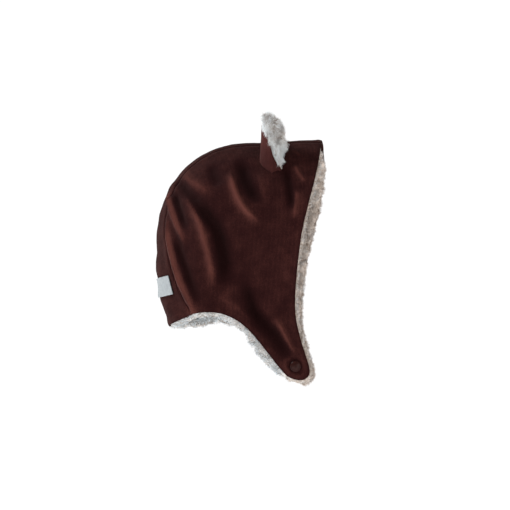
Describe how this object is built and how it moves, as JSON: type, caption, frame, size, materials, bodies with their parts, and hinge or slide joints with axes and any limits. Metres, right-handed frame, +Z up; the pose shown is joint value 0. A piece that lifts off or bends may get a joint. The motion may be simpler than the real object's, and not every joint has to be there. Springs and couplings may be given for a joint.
{
  "type": "baby hat with ears",
  "caption": "Soft winter hat for a baby, with a fleece lining, long ear flaps that snap under the chin and small upright animal ears.",
  "frame": {"origin": "where the head bears on the lining, inside the top of the crown, on the hat's middle plane", "axes": "+Z up, -Y towards the face, +X towards the wearer's left"},
  "size_m": [0.1318, 0.1691, 0.2579],
  "materials": {
    "cloth": "matt brushed knit, dark maroon brown",
    "ear_cloth": "matt brushed knit, slightly lighter",
    "fleece": "deep curly pile, off-white",
    "ear_fleece": "long combed pile, off-white",
    "label": "smooth woven tape, pale grey",
    "snap": "glossy dark brown"
  },
  "bodies": {
    "root": {"side_panel_right": "cloth", "side_panel_left": "cloth", "crown_panel": "cloth", "lining": "fleece", "ear_back_right": "ear_cloth", "ear_back_left": "ear_cloth", "ear_fleece_right": "ear_fleece", "ear_fleece_left": "ear_fleece", "label": "label", "snap_cap_right": "snap", "snap_cap_left": "snap", "snap_socket": "snap", "snap_stud": "snap"}
  },
  "joints": []
}
